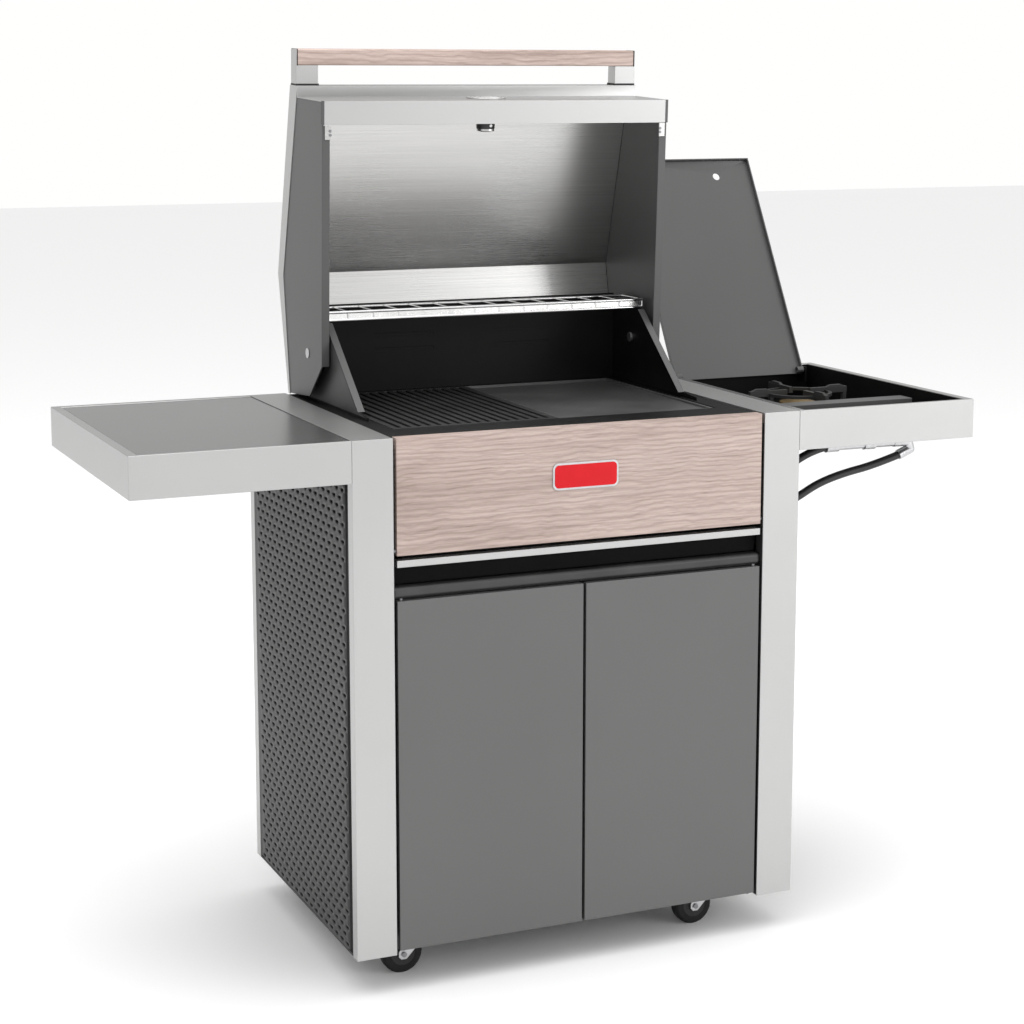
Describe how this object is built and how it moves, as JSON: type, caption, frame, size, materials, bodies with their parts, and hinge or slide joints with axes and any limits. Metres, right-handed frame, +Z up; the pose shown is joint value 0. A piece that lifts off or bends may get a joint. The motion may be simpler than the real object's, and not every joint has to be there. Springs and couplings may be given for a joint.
{
  "type": "gas barbecue grill",
  "caption": "Trolley gas barbecue with hinged roasting hood, timber fascia, cabinet doors, side burner with lid and a side shelf on casters.",
  "frame": {"origin": "on the floor, under the middle of the box of the whole object as stored", "axes": "+Z up, +X to the right of someone facing the doors, +Y to the back"},
  "size_m": [1.352, 0.6825, 1.3653],
  "materials": {
    "silver": "satin",
    "panel_dark": "satin perforated",
    "door_grey": "satin metallic",
    "black_enamel": "gloss enamel",
    "black_metal": "satin",
    "cast_iron": "matte",
    "stainless": "brushed",
    "hood_paint": "satin",
    "timber": "limed grain",
    "chrome": "polished",
    "zinc": "zinc plated",
    "brass": "machined",
    "badge_red": "gloss enamel",
    "shelf_grey": "satin",
    "hose_rubber": "matte",
    "caster_rubber": "matte",
    "knob_metal": "satin"
  },
  "bodies": {
    "trolley": {"left_side_frame": "silver", "right_side_frame": "silver", "left_side_panel": "panel_dark", "right_side_panel": "panel_dark", "base_panel": "black_metal", "back_panel": "black_metal", "finger_rail": "black_metal", "tray_runners": "zinc", "cooktop_rim": "black_enamel", "firebox": "black_enamel", "tube_burners": "stainless", "flame_tamers": "stainless", "control_panel": "stainless", "gas_manifold": "zinc", "hinge_pins": "zinc", "windshield": "black_enamel", "hood_pivot_bolts": "zinc", "right_shelf": "silver", "left_shelf": "silver", "left_shelf_panel": "shelf_grey", "side_burner_well": "black_enamel", "side_burner_ring": "brass", "side_trivet": "cast_iron", "heat_guard": "hood_paint", "supply_hose": "hose_rubber", "link_hose": "hose_rubber", "hose_fittings": "zinc", "caster_plates": "zinc"},
    "hood": {"hood_skin": "silver", "hood_liner": "stainless", "hood_side_left": "hood_paint", "hood_side_right": "hood_paint", "handle_posts": "silver", "handle_bar": "timber", "hood_gauge": "stainless"},
    "fascia": {"fascia_board": "timber", "badge": "badge_red"},
    "left_door": {"left_door": "door_grey"},
    "right_door": {"right_door": "door_grey"},
    "drip_tray": {"drip_tray": "black_enamel", "tray_pull": "silver"},
    "side_lid": {"side_lid": "hood_paint"},
    "warming_rack": {"warming_rack": "chrome"},
    "grill_grate": {"grill_grate": "cast_iron"},
    "hot_plate": {"hot_plate": "cast_iron"},
    "knob_left": {"burner_knob_left": "knob_metal"},
    "knob_middle": {"burner_knob_middle": "knob_metal"},
    "knob_right": {"burner_knob_right": "knob_metal"},
    "knob_side": {"side_burner_knob": "knob_metal"},
    "igniter": {"igniter_button": "knob_metal"},
    "caster_front_left": {"caster_fork_front_left": "zinc"},
    "wheel_front_left": {"caster_wheel_front_left": "caster_rubber"},
    "brake_left": {"brake_pedal_left": "zinc"},
    "caster_front_right": {"caster_fork_front_right": "zinc"},
    "wheel_front_right": {"caster_wheel_front_right": "caster_rubber"},
    "brake_right": {"brake_pedal_right": "zinc"},
    "caster_rear_left": {"caster_fork_rear_left": "zinc"},
    "wheel_rear_left": {"caster_wheel_rear_left": "caster_rubber"},
    "caster_rear_right": {"caster_fork_rear_right": "zinc"},
    "wheel_rear_right": {"caster_wheel_rear_right": "caster_rubber"}
  },
  "joints": [
    {"name": "hood_hinge", "type": "hinge", "parent": "trolley", "child": "hood", "pos_m": [0, 0.0632, 0.895], "axis": [1, 0, 0], "range_deg": [0, 87.3]},
    {"name": "fascia_hinge", "type": "hinge", "parent": "trolley", "child": "fascia", "pos_m": [0, -0.3323, 0.6575], "axis": [1, 0, 0], "range_deg": [0, 90]},
    {"name": "left_door_hinge", "type": "hinge", "parent": "trolley", "child": "left_door", "pos_m": [-0.2865, -0.3308, 0.3245], "axis": [0, 0, -1], "range_deg": [0, 110]},
    {"name": "right_door_hinge", "type": "hinge", "parent": "trolley", "child": "right_door", "pos_m": [0.2865, -0.3308, 0.3245], "axis": [0, 0, 1], "range_deg": [0, 110]},
    {"name": "tray_slide", "type": "slide", "parent": "trolley", "child": "drip_tray", "axis": [0, -1, 0], "range_m": [0, 0.25]},
    {"name": "side_lid_hinge", "type": "hinge", "parent": "trolley", "child": "side_lid", "pos_m": [0.39, 0.1262, 0.8135], "axis": [1, 0, 0], "range_deg": [0, 120]},
    {"name": "rack_lift", "type": "slide", "parent": "trolley", "child": "warming_rack", "axis": [0, 0, 1], "range_m": [0, 0.018]},
    {"name": "grill_lift", "type": "slide", "parent": "trolley", "child": "grill_grate", "axis": [0, 0, 1], "range_m": [0, 0.06]},
    {"name": "hot_plate_lift", "type": "slide", "parent": "trolley", "child": "hot_plate", "axis": [0, 0, 1], "range_m": [0, 0.06]},
    {"name": "knob_left_turn", "type": "hinge", "parent": "trolley", "child": "knob_left", "pos_m": [-0.204, -0.2888, 0.738], "axis": [0, -1, 0], "range_deg": [0, 180]},
    {"name": "knob_middle_turn", "type": "hinge", "parent": "trolley", "child": "knob_middle", "pos_m": [-0.068, -0.2888, 0.738], "axis": [0, -1, 0], "range_deg": [0, 180]},
    {"name": "knob_right_turn", "type": "hinge", "parent": "trolley", "child": "knob_right", "pos_m": [0.068, -0.2888, 0.738], "axis": [0, -1, 0], "range_deg": [0, 180]},
    {"name": "knob_side_turn", "type": "hinge", "parent": "trolley", "child": "knob_side", "pos_m": [0.204, -0.2888, 0.738], "axis": [0, -1, 0], "range_deg": [0, 180]},
    {"name": "igniter_press", "type": "slide", "parent": "trolley", "child": "igniter", "axis": [0, 1, 0], "range_m": [0, 0.004], "stiffness_N_per_m": 300},
    {"name": "swivel_front_left", "type": "hinge", "parent": "trolley", "child": "caster_front_left", "pos_m": [-0.245, -0.2628, 0.07], "axis": [0, 0, 1], "continuous": true},
    {"name": "roll_front_left", "type": "hinge", "parent": "caster_front_left", "child": "wheel_front_left", "pos_m": [-0.266, -0.2628, 0.0315], "axis": [0, 1, 0], "continuous": true},
    {"name": "brake_left_press", "type": "hinge", "parent": "caster_front_left", "child": "brake_left", "pos_m": [-0.233, -0.2628, 0.0465], "axis": [0, 1, 0], "range_deg": [0, 16], "stiffness_Nm_per_rad": 0.6},
    {"name": "swivel_front_right", "type": "hinge", "parent": "trolley", "child": "caster_front_right", "pos_m": [0.245, -0.2628, 0.07], "axis": [0, 0, 1], "continuous": true},
    {"name": "roll_front_right", "type": "hinge", "parent": "caster_front_right", "child": "wheel_front_right", "pos_m": [0.224, -0.2628, 0.0315], "axis": [0, 1, 0], "continuous": true},
    {"name": "brake_right_press", "type": "hinge", "parent": "caster_front_right", "child": "brake_right", "pos_m": [0.257, -0.2628, 0.0465], "axis": [0, 1, 0], "range_deg": [0, 16], "stiffness_Nm_per_rad": 0.6},
    {"name": "swivel_rear_left", "type": "hinge", "parent": "trolley", "child": "caster_rear_left", "pos_m": [-0.245, 0.0802, 0.07], "axis": [0, 0, 1], "continuous": true},
    {"name": "roll_rear_left", "type": "hinge", "parent": "caster_rear_left", "child": "wheel_rear_left", "pos_m": [-0.266, 0.0802, 0.0315], "axis": [0, 1, 0], "continuous": true},
    {"name": "swivel_rear_right", "type": "hinge", "parent": "trolley", "child": "caster_rear_right", "pos_m": [0.245, 0.0802, 0.07], "axis": [0, 0, 1], "continuous": true},
    {"name": "roll_rear_right", "type": "hinge", "parent": "caster_rear_right", "child": "wheel_rear_right", "pos_m": [0.224, 0.0802, 0.0315], "axis": [0, 1, 0], "continuous": true}
  ]
}
